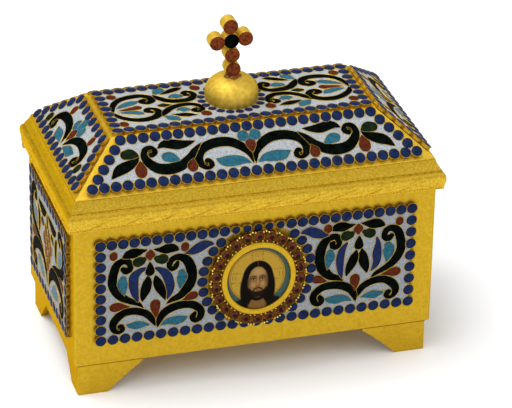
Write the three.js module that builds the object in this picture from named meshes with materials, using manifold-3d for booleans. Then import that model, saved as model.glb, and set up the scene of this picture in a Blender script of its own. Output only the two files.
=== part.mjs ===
// Reliquary casket: a gilded brass box on four bracket feet, with a hipped lid on a barrel
// hinge, lobed enamel plates on every face, a miniature in a ring of stones on the front and
// a small cross on a polished dome. Millimetres, +Z up. The origin is on the floor, under the
// middle of the outer box, and the front faces -Y.

import * as THREE from 'three';
import { mergeVertices } from 'three/addons/utils/BufferGeometryUtils.js';
import Module from 'manifold-3d';

const wasm = await Module();
wasm.setup();

// Box
const BODY_W = 180;
const BODY_D = 95.5;
const WALL_H = 74.1;
const WALL_T = 1.5;
const EDGE_BEVEL = 0.8;
const FOOT_H = 17.4;
const FOOT_INSET = 1.9;
const FOOT_T = 2.5;
const FOOT_STEP = 2.4;
const FOOT_FRONT = { base: 14.7, top: 32.3 };
const FOOT_SIDE = { base: 13, top: 27 };
const BODY_TOP = FOOT_H + WALL_H;

// Lid
const SEAM = 0.3;
const LID_Z = BODY_TOP + SEAM;
const ROOF_BASE_Z = 107.1;
const ROOF_TOP_Z = 125.9;
const ROOF_INSET = 1.15;
const ROOF_PITCH = THREE.MathUtils.degToRad(38.6);
const ROOF_T = 1.5;

// Enamel plates. A plate's half widths and its heights run through the centres of the dots on
// its rim, and each edge has a number of dots that counts both its corners.
const PLATE_T = 1.5;
const PLATE_GAP = 0.3;
const DOT_R = 2.75;
const DOT_DIP = 1.0;
const DOT_SPREAD = 0.6;
const WALL_PLATE_Z = 56.6;
const FRONT_PLATE = { halfLow: 77.5, halfHigh: 77.5, z: [-25.8, 25.8], dots: [27, 9, 29, 10] };
const BACK_PLATE = { halfLow: 77.5, halfHigh: 77.5, z: [-25.8, 25.8], dots: [27, 10, 27, 10] };
const END_PLATE = { halfLow: 36.5, halfHigh: 36.5, z: [-25.8, 25.8], dots: [13, 10, 13, 10] };
const LONG_SLOPE = { halfLow: 80.1, halfHigh: 62.1, z: [3.8, 27.2], dots: [29, 6, 23, 6] };
const SHORT_SLOPE = { halfLow: 39.3, halfHigh: 22.0, z: [3.8, 26.0], dots: [14, 6, 8, 6] };
const TOP_PLATE = { halfLow: 61.8, halfHigh: 61.8, z: [-20.4, 20.4], dots: [23, 8, 23, 8] };

// Medallion: radii across, stretched upwards into a slight oval; heights are out from the
// face of the front plate
const OVAL = 1.06;
const MEDALLION_DROP = 0.7;
const SETTING_R = 21.3;
const SETTING_LOBE_R = 2.95;
const SETTING_BORE_R = 18.5;
const SETTING_T = 1.5;
const STONE_COUNT = 22;
const STONE_R = 2.45;
const STONE_LIFT = 0.3;
const STONE_H = 1.5;
const BEZEL_R = 18.2;
const BEZEL_BORE_R = 15.7;
const BEZEL_H = 3.5;
const ICON_R = 15.4;
const ICON_EDGE = 2.3;
const ICON_CROWN = 0.7;

// Dome and cross
const DOME_R = 12.7;
const DOME_FOOT_R = 12.1;
const DOME_WAIST_Z = 4;
const DOME_CAP_H = 9.7;
const DOME_SEAT_R = 3.8;
const CROSS_LEAN = THREE.MathUtils.degToRad(-4);
const ROD_R = 3.62;
const ROD_L = 6.6;
const ROD_LIFT = 0.1;
const ROD_PITCH_X = 7.05;
const ROD_PITCH_Z = 7.6;
const SOLDER_W = 3.4;
const DISC_R = 3.5;
const DISC_T = 0.9;

// Hinge
const HINGE_R = 2.2;
const HINGE_BORE_R = 1.2;
const HINGE_PIN_R = 0.9;
const HINGE_WEB = 0.95;
const HINGE_Y = BODY_D / 2 + 2.3;
const HINGE_Z = LID_Z - 2.5;
const HINGE_L = 185;
const KNUCKLES = 5;
const KNUCKLE_GAP = 0.3;
const PIN_RECESS = 1.5;

// The front reaches 0.5 mm further out than the hinge, so the whole stands back by half of it
const FRONT_REACH = BODY_D / 2 + PLATE_T + BEZEL_H;
const BACK_REACH = HINGE_Y + HINGE_R;
const CENTRE_Y = (FRONT_REACH - BACK_REACH) / 2;

const material = (color, roughness, metalness) =>
  new THREE.MeshStandardMaterial({ color, roughness, metalness });
const GILT = material(0xd9ab35, 0.42, 1);
const POLISHED = material(0xe2b93c, 0.15, 1);
const ENAMEL = material(0xb9c2cf, 0.25, 0);
const GARNET = material(0x6b1f12, 0.1, 0);
const RED_DISC = material(0x82331c, 0.35, 0);
const BLACK_DISC = material(0x0b0c0d, 0.3, 0);
const PAINTED = material(0x9a7434, 0.4, 0);

function namedMesh(name, geometry, surface) {
  const mesh = new THREE.Mesh(geometry, surface);
  mesh.name = name;
  return mesh;
}

// Booleans

function toSolid(geometry) {
  const bare = geometry.clone();
  bare.deleteAttribute('normal');
  bare.deleteAttribute('uv');
  const merged = mergeVertices(bare, 1e-4);
  return new wasm.Manifold(new wasm.Mesh({
    numProp: 3,
    vertProperties: new Float32Array(merged.attributes.position.array),
    triVerts: new Uint32Array(merged.index.array),
  }));
}

function toGeometry(solid) {
  const result = solid.getMesh();
  const geometry = new THREE.BufferGeometry();
  geometry.setAttribute('position', new THREE.BufferAttribute(result.vertProperties, 3));
  geometry.setIndex(new THREE.BufferAttribute(result.triVerts, 1));
  return geometry;
}

function cut(whole, tool) {
  return toGeometry(toSolid(whole).subtract(toSolid(tool)));
}

function join(geometries) {
  return toGeometry(geometries.map(toSolid).reduce((sum, next) => sum.add(next)));
}

// Shapes

function extrude(points, depth, hole) {
  const shape = new THREE.Shape(points);
  if (hole) {
    shape.holes.push(new THREE.Path(hole));
  }
  return new THREE.ExtrudeGeometry(shape, { depth, bevelEnabled: false, curveSegments: 1 });
}

function onCircle(radius, angle) {
  return new THREE.Vector2(radius * Math.cos(angle), radius * Math.sin(angle));
}

function circle(radius, sides) {
  return Array.from({ length: sides }, (_, i) => onCircle(radius, (2 * Math.PI * i) / sides));
}

// A body of revolution about Z from [radius, height] points
function turned(profile, sides) {
  const points = profile.map(([radius, z]) => new THREE.Vector2(radius, z));
  return new THREE.LatheGeometry(points, sides).rotateX(Math.PI / 2);
}

function bevelledRectangle(width, depth, bevel) {
  const [x, y] = [width / 2, depth / 2];
  return [
    [bevel - x, -y], [x - bevel, -y], [x, bevel - y], [x, y - bevel],
    [x - bevel, y], [bevel - x, y], [-x, y - bevel], [-x, bevel - y],
  ].map(([px, py]) => new THREE.Vector2(px, py));
}

// A block between two level rectangles of different size
function frustum(lowX, lowY, lowZ, highX, highY, highZ) {
  const geometry = new THREE.BoxGeometry(2, 2, 2);
  const position = geometry.attributes.position;
  for (let i = 0; i < position.count; i += 1) {
    const high = position.getZ(i) > 0;
    position.setXYZ(
      i,
      position.getX(i) * (high ? highX : lowX),
      position.getY(i) * (high ? highY : lowY),
      high ? highZ : lowZ,
    );
  }
  return geometry;
}

// A four-sided lathe whose corners are pulled out to a rectangle, so the profile is mitred.
// A profile point is [distance out from the wall, height].
function mitredFrame(profile, halfX, halfY) {
  const inner = Math.min(halfX, halfY) / 2;
  const ring = [...profile, profile[0]].map(([out, z]) => new THREE.Vector2(inner + out, z));
  const geometry = new THREE.LatheGeometry(ring, 4, Math.PI / 4);
  geometry.rotateX(Math.PI / 2);
  const position = geometry.attributes.position;
  for (let i = 0; i < position.count; i += 1) {
    const [x, y] = [position.getX(i), position.getY(i)];
    const out = Math.hypot(x, y) - inner;
    position.setXY(i, Math.sign(x) * (halfX + out), Math.sign(y) * (halfY + out));
  }
  return geometry;
}

// Box and feet

function casketBody() {
  const outside = extrude(bevelledRectangle(BODY_W, BODY_D, EDGE_BEVEL), WALL_H);
  const inside = new THREE.BoxGeometry(BODY_W - 2 * WALL_T, BODY_D - 2 * WALL_T, WALL_H);
  inside.translate(0, 0, WALL_H / 2 + WALL_T);
  return cut(outside, inside).translate(0, 0, FOOT_H);
}

// One side of a bracket foot: upright at the corner, slanting up to a short step at the top
function footSide({ base, top }) {
  const slant = new THREE.QuadraticBezierCurve(
    new THREE.Vector2(base, 0),
    new THREE.Vector2(base + (top - base) * 0.42, FOOT_H * 0.42),
    new THREE.Vector2(top, FOOT_H - FOOT_STEP),
  ).getPoints(4);
  return [new THREE.Vector2(0, 0), ...slant, new THREE.Vector2(top, FOOT_H), new THREE.Vector2(0, FOOT_H)];
}

// The foot at the front left corner; the others are its mirror images
function foot(signX, signY) {
  const front = extrude(footSide(FOOT_FRONT), FOOT_T);
  front.rotateX(Math.PI / 2).translate(0, FOOT_T, 0);
  const side = extrude(footSide(FOOT_SIDE), FOOT_T);
  side.rotateX(Math.PI / 2).rotateZ(Math.PI / 2);
  let solid = toSolid(front).add(toSolid(side));
  solid = solid.translate(FOOT_INSET - BODY_W / 2, FOOT_INSET - BODY_D / 2, 0);
  if (signX > 0) {
    solid = solid.mirror([1, 0, 0]);
  }
  if (signY > 0) {
    solid = solid.mirror([0, 1, 0]);
  }
  return toGeometry(solid);
}

// Enamel plates

function angleOf(from, to) {
  return Math.atan2(to.y - from.y, to.x - from.x) - Math.PI / 2;
}

// The dot centres round a plate, anticlockwise from the low left corner
function dotCentres({ halfLow, halfHigh, z: [low, high], dots }) {
  const corners = [
    new THREE.Vector2(-halfLow, low),
    new THREE.Vector2(halfLow, low),
    new THREE.Vector2(halfHigh, high),
    new THREE.Vector2(-halfHigh, high),
  ];
  return dots.flatMap((count, side) =>
    Array.from({ length: count - 1 }, (_, i) =>
      corners[side].clone().lerp(corners[(side + 1) % 4], i / (count - 1))));
}

// The lobed outline: two points on the outer side of each dot, more where the rim turns,
// and a dip between each dot and the next
function lobedOutline(centres) {
  const outline = [];
  centres.forEach((centre, i) => {
    const before = centres[(i + centres.length - 1) % centres.length];
    const after = centres[(i + 1) % centres.length];
    const arrive = angleOf(before, centre);
    let turn = angleOf(centre, after) - arrive;
    turn -= 2 * Math.PI * Math.round(turn / (2 * Math.PI));
    const steps = 1 + Math.round(turn / (Math.PI / 4));
    for (let k = 0; k <= steps; k += 1) {
      const angle = arrive - DOT_SPREAD + ((turn + 2 * DOT_SPREAD) * k) / steps;
      outline.push(onCircle(DOT_R, angle).add(centre));
    }
    outline.push(centre.clone().lerp(after, 0.5).add(onCircle(DOT_DIP, arrive + turn)));
  });
  return outline;
}

// A plate drawn upright as seen from outside, then tilted and turned to its face.
// facing is the turn about Z, reach the distance of its drawing plane from the middle.
function enamelPlate(name, plate, pose) {
  const geometry = extrude(lobedOutline(dotCentres(plate)), PLATE_T);
  geometry.translate(0, 0, pose.gap);
  const mesh = namedMesh(name, geometry, ENAMEL);
  mesh.rotation.x = pose.tilt;
  mesh.position.set(0, -pose.reach, pose.z);
  const side = new THREE.Group();
  side.rotation.z = pose.facing;
  side.add(mesh);
  return side;
}

const FACINGS = { front: 0, right: Math.PI / 2, back: Math.PI, left: -Math.PI / 2 };

function wallPlates() {
  const plates = { front: FRONT_PLATE, right: END_PLATE, back: BACK_PLATE, left: END_PLATE };
  return Object.entries(plates).map(([side, plate]) => {
    const reach = (plate === END_PLATE ? BODY_W : BODY_D) / 2;
    const pose = { facing: FACINGS[side], tilt: Math.PI / 2, reach, z: WALL_PLATE_Z, gap: 0 };
    return enamelPlate(`panel_${side}`, plate, pose);
  });
}

function lidPlates() {
  const plates = { front: LONG_SLOPE, right: SHORT_SLOPE, back: LONG_SLOPE, left: SHORT_SLOPE };
  const slopes = Object.entries(plates).map(([side, plate]) => {
    const reach = (plate === SHORT_SLOPE ? BODY_W : BODY_D) / 2 - ROOF_INSET;
    const pose = { facing: FACINGS[side], tilt: ROOF_PITCH, reach, z: ROOF_BASE_Z, gap: PLATE_GAP };
    return enamelPlate(`lid_panel_${side}`, plate, pose);
  });
  const flat = { facing: 0, tilt: 0, reach: 0, z: ROOF_TOP_Z, gap: 0 };
  return [...slopes, enamelPlate('lid_panel_top', TOP_PLATE, flat)];
}

// Medallion, built lying flat with its back on z = 0

// The plate under the stones: a ring with a lobe behind each stone
function medallionSetting() {
  const outline = [];
  for (let i = 0; i < STONE_COUNT; i += 1) {
    const middle = (2 * Math.PI * (i + 0.5)) / STONE_COUNT;
    const centre = onCircle(SETTING_R, middle);
    for (const swing of [-0.6, 0.6]) {
      outline.push(onCircle(SETTING_LOBE_R, middle + swing).add(centre));
    }
    outline.push(onCircle(SETTING_R + SETTING_LOBE_R / 3, middle + Math.PI / STONE_COUNT));
  }
  return extrude(outline, SETTING_T, circle(SETTING_BORE_R, 32));
}

// A round stone with a flat table, a crown and a pavilion
function stone() {
  const profile = [
    [0, 0],
    [STONE_R, STONE_H * 0.35],
    [STONE_R * 0.6, STONE_H],
    [0, STONE_H],
  ];
  return turned(profile, 8);
}

// A plain ring, rounded at its rim
function bezel() {
  const round = (BEZEL_R - BEZEL_BORE_R) * 0.45;
  const profile = [
    [BEZEL_BORE_R, 0],
    [BEZEL_R, 0],
    [BEZEL_R, BEZEL_H - round],
    [BEZEL_R - round * 0.3, BEZEL_H - round * 0.3],
    [BEZEL_R - round, BEZEL_H],
    [BEZEL_BORE_R + round, BEZEL_H],
    [BEZEL_BORE_R, BEZEL_H - round],
    [BEZEL_BORE_R, 0],
  ];
  return turned(profile, 32);
}

// The miniature: a thick disc with a slightly crowned face
function icon() {
  const profile = [
    [0, 0],
    [ICON_R, 0],
    [ICON_R, ICON_EDGE],
    [ICON_R / 2, ICON_EDGE + ICON_CROWN * 0.75],
    [0, ICON_EDGE + ICON_CROWN],
  ];
  return turned(profile, 24);
}

function medallion() {
  const group = new THREE.Group();
  group.rotation.x = Math.PI / 2;
  group.position.set(0, -BODY_D / 2 - PLATE_T, WALL_PLATE_Z - MEDALLION_DROP);
  group.add(
    namedMesh('medallion_setting', medallionSetting().scale(1, OVAL, 1), GILT),
    namedMesh('medallion_bezel', bezel().scale(1, OVAL, 1), POLISHED),
    namedMesh('icon', icon().scale(1, OVAL, 1), PAINTED),
  );
  for (let i = 0; i < STONE_COUNT; i += 1) {
    const angle = (2 * Math.PI * (i + 0.5)) / STONE_COUNT;
    const place = onCircle(SETTING_R, angle);
    const gem = namedMesh(`garnet_${String(i + 1).padStart(2, '0')}`, stone(), GARNET);
    gem.rotation.z = angle;
    gem.position.set(place.x, place.y * OVAL, SETTING_T + STONE_LIFT);
    group.add(gem);
  }
  return group;
}

// Lid

// Profile of the moulded frame: flat underside, torus, step, cove, band and the inner wall
function lidCornice() {
  const sheet = ROOF_T / Math.sin(ROOF_PITCH);
  const profile = [
    [-2.7, LID_Z],
    [2.5, LID_Z],
    [2.9, LID_Z + 2.4],
    [3.6, LID_Z + 4.3],
    [3.6, LID_Z + 5.9],
    [3.0, LID_Z + 7.6],
    [1.8, LID_Z + 9.1],
    [0.3, LID_Z + 10.1],
    [-0.6, LID_Z + 10.8],
    [-1.0, LID_Z + 11.8],
    [-ROOF_INSET, LID_Z + 13.0],
    [-ROOF_INSET, ROOF_BASE_Z],
    [-ROOF_INSET - sheet, ROOF_BASE_Z],
    [-2.7, ROOF_BASE_Z - 1.2],
  ];
  return mitredFrame(profile, BODY_W / 2, BODY_D / 2);
}

// Half sizes of the hipped roof at a height, for a surface set in by a sheet thickness
function roofHalf(half, z, inset) {
  return half - ROOF_INSET - inset / Math.sin(ROOF_PITCH) - (z - ROOF_BASE_Z) / Math.tan(ROOF_PITCH);
}

function roofBlock(lowZ, highZ, inset) {
  return frustum(
    roofHalf(BODY_W / 2, lowZ, inset), roofHalf(BODY_D / 2, lowZ, inset), lowZ,
    roofHalf(BODY_W / 2, highZ, inset), roofHalf(BODY_D / 2, highZ, inset), highZ,
  );
}

function lidRoof() {
  const outside = roofBlock(ROOF_BASE_Z, ROOF_TOP_Z, 0);
  return cut(outside, roofBlock(ROOF_BASE_Z - 1, ROOF_TOP_Z - ROOF_T, ROOF_T));
}

// A low ball, drawn in at its foot, with a small flat on top where the cross is soldered
const DOME_SEAT_Z = DOME_WAIST_Z + DOME_CAP_H * Math.sqrt(1 - (DOME_SEAT_R / DOME_R) ** 2);

function dome() {
  const lastAngle = Math.acos(DOME_SEAT_R / DOME_R);
  const profile = [
    [0, 0],
    [DOME_FOOT_R, 0],
    [(DOME_FOOT_R + 2 * DOME_R) / 3, DOME_WAIST_Z * 0.45],
  ];
  for (let i = 0; i <= 6; i += 1) {
    const angle = (lastAngle * i) / 6;
    profile.push([DOME_R * Math.cos(angle), DOME_WAIST_Z + DOME_CAP_H * Math.sin(angle)]);
  }
  profile.push([0, DOME_SEAT_Z]);
  return turned(profile, 28);
}

// Rod centres of the cross, in rod pitches from the lowest rod
const ROD_PLACES = {
  lowest: [0, 0],
  lower: [0, 1],
  centre: [0, 2],
  left: [-1, 2],
  right: [1, 2],
  top: [0, 3],
};

function rodCentre(place) {
  const [column, row] = ROD_PLACES[place];
  return [column * ROD_PITCH_X, ROD_LIFT + ROD_R + row * ROD_PITCH_Z];
}

// Six rods along Y and the solder between them, leaning a little to the left, on a seat of
// solder that stands on z = 0
function crossRods() {
  const rods = Object.keys(ROD_PLACES).map((place) => {
    const [x, z] = rodCentre(place);
    return new THREE.CylinderGeometry(ROD_R, ROD_R, ROD_L, 16).translate(x, 0, z);
  });
  const [, lowZ] = rodCentre('lowest');
  const [, armZ] = rodCentre('centre');
  const high = 3 * ROD_PITCH_Z;
  const upright = new THREE.BoxGeometry(SOLDER_W, ROD_L * 0.7, high).translate(0, 0, lowZ + high / 2);
  const arms = new THREE.BoxGeometry(2 * ROD_PITCH_X, ROD_L * 0.7, SOLDER_W).translate(0, 0, armZ);
  const leaning = [...rods, upright, arms].map((piece) => piece.rotateY(CROSS_LEAN));
  const seat = new THREE.BoxGeometry(SOLDER_W, ROD_L * 0.6, lowZ).translate(0, 0, lowZ / 2);
  return join([...leaning, seat]);
}

function discs() {
  const profile = [
    [0, 0],
    [DISC_R, 0],
    [DISC_R, DISC_T * 0.6],
    [0, DISC_T],
  ].map(([radius, out]) => new THREE.Vector2(radius, out));
  return Object.keys(ROD_PLACES).map((place) => {
    const [x, z] = rodCentre(place);
    const geometry = new THREE.LatheGeometry(profile, 12).rotateX(Math.PI);
    geometry.translate(x, -ROD_L / 2, z).rotateY(CROSS_LEAN);
    return namedMesh(`cross_disc_${place}`, geometry, place === 'centre' ? BLACK_DISC : RED_DISC);
  });
}

function domeAndCross() {
  const group = new THREE.Group();
  group.position.z = ROOF_TOP_Z + PLATE_T;
  group.add(namedMesh('dome', dome(), POLISHED));
  const cross = new THREE.Group();
  cross.position.z = DOME_SEAT_Z;
  cross.add(namedMesh('cross', crossRods(), GILT), ...discs());
  group.add(cross);
  return group;
}

// Hinge: tubes along X, joined by a short web to the wall (casket) or to the cornice (lid)

function knuckleOutline(webLength) {
  const half = Math.asin(HINGE_WEB / HINGE_R);
  const steps = 14;
  const outline = [new THREE.Vector2(-HINGE_WEB, webLength)];
  for (let i = 0; i <= steps; i += 1) {
    const angle = Math.PI / 2 + half + ((2 * Math.PI - 2 * half) * i) / steps;
    outline.push(onCircle(HINGE_R, angle));
  }
  outline.push(new THREE.Vector2(HINGE_WEB, webLength));
  return outline;
}

// The extruded drawing's X, Y become the casket's Y, Z; a casket tube is turned to the wall
function knuckle(index, forLid) {
  const pitch = HINGE_L / KNUCKLES;
  const web = forLid ? LID_Z - HINGE_Z : HINGE_Y - BODY_D / 2;
  const geometry = extrude(knuckleOutline(web), pitch - KNUCKLE_GAP, circle(HINGE_BORE_R, 10));
  if (!forLid) {
    geometry.rotateZ(Math.PI / 2);
  }
  geometry.rotateX(Math.PI / 2).rotateZ(Math.PI / 2);
  geometry.translate(index * pitch - HINGE_L / 2 + KNUCKLE_GAP / 2, HINGE_Y, HINGE_Z);
  return namedMesh(`hinge_knuckle_${index + 1}`, geometry, GILT);
}

function hingePin() {
  const geometry = new THREE.CylinderGeometry(HINGE_PIN_R, HINGE_PIN_R, HINGE_L - 2 * PIN_RECESS, 10);
  geometry.rotateZ(Math.PI / 2).translate(0, HINGE_Y, HINGE_Z);
  return namedMesh('hinge_pin', geometry, GILT);
}

// Assembly

const casket = new THREE.Group();
casket.add(namedMesh('casket_body', casketBody(), GILT));
casket.add(
  namedMesh('foot_front_left', foot(-1, -1), GILT),
  namedMesh('foot_front_right', foot(1, -1), GILT),
  namedMesh('foot_back_left', foot(-1, 1), GILT),
  namedMesh('foot_back_right', foot(1, 1), GILT),
);
casket.add(...wallPlates(), medallion(), hingePin());

const lid = new THREE.Group();
lid.add(namedMesh('lid_cornice', lidCornice(), GILT));
lid.add(namedMesh('lid_roof', lidRoof(), GILT));
lid.add(...lidPlates(), domeAndCross());

for (let index = 0; index < KNUCKLES; index += 1) {
  const forLid = index % 2 === 1;
  (forLid ? lid : casket).add(knuckle(index, forLid));
}

const reliquary = new THREE.Group();
reliquary.add(casket, lid);
reliquary.position.y = CENTRE_Y;

export default reliquary;
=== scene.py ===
import math
import bpy
from mathutils import Matrix, Vector


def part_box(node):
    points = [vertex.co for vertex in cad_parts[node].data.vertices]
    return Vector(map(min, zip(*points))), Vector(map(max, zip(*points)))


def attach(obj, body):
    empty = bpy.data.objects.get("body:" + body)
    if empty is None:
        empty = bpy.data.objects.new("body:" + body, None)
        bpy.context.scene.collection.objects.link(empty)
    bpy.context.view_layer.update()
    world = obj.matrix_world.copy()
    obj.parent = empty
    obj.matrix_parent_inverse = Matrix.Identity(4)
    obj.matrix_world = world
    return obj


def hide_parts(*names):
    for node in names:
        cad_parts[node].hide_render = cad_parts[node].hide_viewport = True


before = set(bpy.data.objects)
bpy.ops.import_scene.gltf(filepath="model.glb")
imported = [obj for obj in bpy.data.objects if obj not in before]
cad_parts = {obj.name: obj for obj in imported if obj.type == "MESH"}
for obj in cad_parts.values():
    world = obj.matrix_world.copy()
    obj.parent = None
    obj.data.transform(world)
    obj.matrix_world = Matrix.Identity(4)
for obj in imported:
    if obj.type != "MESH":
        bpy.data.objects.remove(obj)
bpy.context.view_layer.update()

# The casket's box: sheet brass folded and soldered, open at the top, gilded inside and out.
# The gilding is satin, with faint rubbing and small dents from handling.
MM = 0.001


def set_node(tree, node, values=None, wires=None):
    """Gives a node its input values, and wires the outputs of others to its inputs."""
    for label, value in (values or {}).items():
        node.inputs[label].default_value = value
    for label, output in (wires or {}).items():
        tree.links.new(output, node.inputs[label])
    return node


def add_node(tree, kind, values=None, wires=None):
    return set_node(tree, tree.nodes.new(kind), values, wires)


def surface(name, tones, patch, roughness, metallic=0.0, grain=0.4, bump=0.1, gloss=0.5):
    """A finish whose two tones mix in patches, with a finer grain in its gloss and relief.
    patch and grain are sizes in millimetres."""
    finish = bpy.data.materials.new(name)
    finish.use_nodes = True
    tree = finish.node_tree
    where = {"Vector": add_node(tree, "ShaderNodeTexCoord").outputs["Object"]}
    patches = add_node(tree, "ShaderNodeTexNoise", {"Scale": 1 / (patch * MM), "Detail": 5}, where)
    grains = add_node(tree, "ShaderNodeTexNoise", {"Scale": 1 / (grain * MM), "Detail": 3}, where)
    ramp = add_node(tree, "ShaderNodeValToRGB", wires={"Fac": patches.outputs["Fac"]})
    for stop, position, tone in zip(ramp.color_ramp.elements, (0.35, 0.65), tones):
        stop.position = position
        stop.color = (*tone, 1)
    rubbed = add_node(tree, "ShaderNodeMapRange",
                      {"From Min": 0.3, "From Max": 0.7, "To Min": roughness[0],
                       "To Max": roughness[1]}, {"Value": grains.outputs["Fac"]})
    relief = add_node(tree, "ShaderNodeBump", {"Strength": bump, "Distance": 0.2 * MM},
                      {"Height": grains.outputs["Fac"]})
    shader = set_node(tree, tree.nodes["Principled BSDF"],
                      {"Metallic": metallic, "Specular IOR Level": gloss},
                      {"Base Color": ramp.outputs["Color"], "Roughness": rubbed.outputs["Result"],
                       "Normal": relief.outputs["Normal"]})
    if metallic:
        shader.inputs["Specular Tint"].default_value = (0.9, 0.66, 0.2, 1)
    return finish


def gilding(name, dark, light, patch=1.5, roughness=(0.4, 0.55), grain=0.4, bump=0.12):
    """A metal finish between a dark and a light tone."""
    return surface(name, [dark, light], patch, roughness, 1.0, grain, bump)


def finish_node(node, finish):
    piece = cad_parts[node]
    piece.data.materials.clear()
    piece.data.materials.append(finish)


GILT = gilding("satin_gilding", (0.5, 0.312, 0.017), (0.575, 0.37, 0.026), 1.6, (0.4, 0.54),
               0.35, 0.18)
finish_node("casket_body", GILT)

# Four bracket feet, cut from brass sheet, bent at the corner and soldered under the box.
# A thin dark fillet where each foot meets the box is the solder line, with painted shade in the
# join under the box.
def mesh_piece(name, verts, faces, finishes, place=None, smooth=True, kinds=None):
    """A mesh object from points in millimetres, put in place by a matrix in metres."""
    mesh = bpy.data.meshes.new(name)
    mesh.from_pydata(verts, [], faces)
    for finish in finishes:
        mesh.materials.append(finish)
    if kinds:
        mesh.polygons.foreach_set("material_index", kinds)
    mesh.polygons.foreach_set("use_smooth", [smooth] * len(faces))
    mesh.transform((place or Matrix()) @ Matrix.Scale(MM, 4))
    mesh.update()
    piece = bpy.data.objects.new(name, mesh)
    bpy.context.scene.collection.objects.link(piece)
    return piece


def add_piece(piece, body, slot, *nodes):
    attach(piece, body)
    if nodes:
        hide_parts(*nodes)


SEAM_DROP = 1.5
SEAM_OUT = 0.8
SEAM_GAP = 0.05
seam_verts, seam_faces = [], []
for node in ("foot_front_left", "foot_front_right", "foot_back_left", "foot_back_right"):
    finish_node(node, GILT)
    low, high = (Vector(c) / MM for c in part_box(node))
    to_x, to_y = (-1 if "left" in node else 1), (-1 if "front" in node else 1)
    corner = Vector((low.x if to_x < 0 else high.x, low.y if to_y < 0 else high.y))
    ends = [Vector((corner.x - to_x * (high.x - low.x), corner.y)), corner,
            Vector((corner.x, corner.y - to_y * (high.y - low.y)))]
    pushes = [Vector((0, to_y)), Vector((to_x, to_y)), Vector((to_x, 0))]
    start = len(seam_verts)
    top = high.z - SEAM_GAP
    for end, push in zip(ends, pushes):
        face = end + push * SEAM_GAP
        edge = end + push * SEAM_OUT
        seam_verts += [(face.x, face.y, high.z - SEAM_DROP), (edge.x, edge.y, top),
                       (end.x, end.y, top)]
    for first in (start, start + 3):
        for k in range(3):
            n = (k + 1) % 3
            quad = (first + k, first + n, first + 3 + n, first + 3 + k)
            seam_faces.append(quad if to_x * to_y > 0 else quad[::-1])
# Dark gilding for the fillets: the solder line, with painted shade in the join.
SEAM_SHADE = gilding("solder_line_painted_shade", (0.07, 0.03, 0.006), (0.26, 0.13, 0.015), 1.5, (0.5, 0.65),
               0.4, 0.2)
foot_seam_shades = mesh_piece("foot_seam_shades", seam_verts, seam_faces, [SEAM_SHADE], smooth=False)
add_piece(foot_seam_shades, "casket", "gilt_brass")

# The lid's hipped roof: brass sheet, gilded, that carries the five upper enamel plates.
# Only its edges show, as ridges between the plates; their gilding is paler than the box's, as
# painted light.
# A paler copy of the gilding for the roof edges: painted light.
ROOF_LIT_GILT = gilding("roof_gilding_painted_light", (0.66, 0.43, 0.035), (0.76, 0.52, 0.055), 2.5,
                    (0.4, 0.54), 0.35)
finish_node("lid_roof", ROOF_LIT_GILT)

# The moulded frame of the lid: a cast and chased torus under a step, mitred at the corners.
# A shallow wave of leaves is chased into the torus, over a row of fine beads at the seam.
LEAF_PITCH = 16.4
LEAF_START = 200
CORNICE_STEP = 0.8
CORNICE_REACH = 3.6


def smooth_line(points, steps):
    """Points along a smooth curve through the given ones."""
    given = [Vector(p) for p in points]
    given = [2 * given[0] - given[1], *given, 2 * given[-1] - given[-2]]
    line = []
    for a, b, c, d in zip(given, given[1:], given[2:], given[3:]):
        for k in range(steps):
            t = k / steps
            line.append((2 * b + (c - a) * t + (2 * a - 5 * b + 4 * c - d) * t * t
                         + (3 * b - a - 3 * c + d) * t ** 3) / 2)
    return line + [given[-2]]


def leaf_relief(along, height):
    """Depth of the chased leaves, from the distance along the moulding and the height on it."""
    phase = along / LEAF_PITCH % 1
    sweep = 1.3 + 6.2 * phase ** 1.5
    rib = 0.22 * math.exp(-((height - sweep) / 0.7) ** 2)
    cut = -0.36 * math.exp(-((height - sweep + 1.5) / 0.45) ** 2)
    vein = -0.22 * math.exp(-((height - 2.2 - 2.2 * math.sin(math.pi * phase)) / 0.35) ** 2)
    edge = min(1, max(0, (height - 0.8) / 1.2), max(0, (8.6 - height) / 1.2))
    return max(0, edge) * (rib + cut + vein)


cornice_low, cornice_high = (Vector(c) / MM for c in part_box("lid_cornice"))
cornice_middle = (cornice_low + cornice_high) / 2
wall_x = cornice_high.x - CORNICE_REACH
wall_y = cornice_high.y - CORNICE_REACH - cornice_middle.y
CORNICE_SIDES = ((wall_x, wall_y, (0, -1)), (wall_y, wall_x, (1, 0)),
                 (wall_x, wall_y, (0, 1)), (wall_y, wall_x, (-1, 0)))
torus = smooth_line([(2.9, 0, 0), (3.15, 2.4, 0), (CORNICE_REACH, 4.3, 0), (CORNICE_REACH, 5.9, 0),
                     (3.35, 7.3, 0), (2.5, 8.6, 0)], 6)
section = [(-2.7, 0), (2.7, 0)] + [(p.x, p.y) for p in torus]
groove_from = len(section) - 1
section += [(2.1, 8.95), (1.75, 9.1), (1.65, 9.35), (1.7, 9.6)]
groove_to = len(section) - 1
section += [(1.5, 10), (1, 10.8), (0.4, 11.7), (-0.15, 12.7), (-0.6, 13.7), (-0.85, 14.5),
            (-1.15, 14.55), (-1.15, 15.3), (-3.55, 15.3), (-2.7, 14.1)]
leaf_from, leaf_to = 2, 2 + len(torus)


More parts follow.
